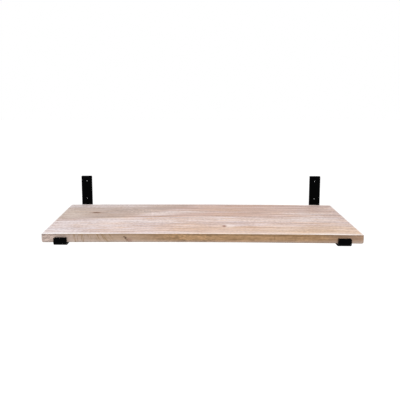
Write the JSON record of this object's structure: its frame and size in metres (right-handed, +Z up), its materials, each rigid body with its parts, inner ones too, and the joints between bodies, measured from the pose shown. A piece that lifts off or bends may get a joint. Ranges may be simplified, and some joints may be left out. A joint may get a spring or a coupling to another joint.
{
  "type": "bracket wall shelf",
  "caption": "Plain wooden wall shelf whose board lies in black bent flat-bar brackets with uprights drilled for the wall, arms underneath and short front lips.",
  "frame": {"origin": "centre of the four wall holes, on the back faces of the brackets, where they lie against the wall", "axes": "+X along the board to the right as seen from the room, +Y into the wall, +Z up"},
  "size_m": [0.95, 0.239, 0.141],
  "materials": {
    "board_wood": "pale sanded wood with a matt clear finish",
    "bracket_black": "satin black powder coat on steel",
    "screw_zinc": "zinc plated steel"
  },
  "bodies": {
    "root": {"shelf_board": "board_wood", "left_bracket": "bracket_black", "right_bracket": "bracket_black", "left_rear_board_screw": "screw_zinc", "left_front_board_screw": "screw_zinc", "right_rear_board_screw": "screw_zinc", "right_front_board_screw": "screw_zinc"}
  },
  "joints": []
}
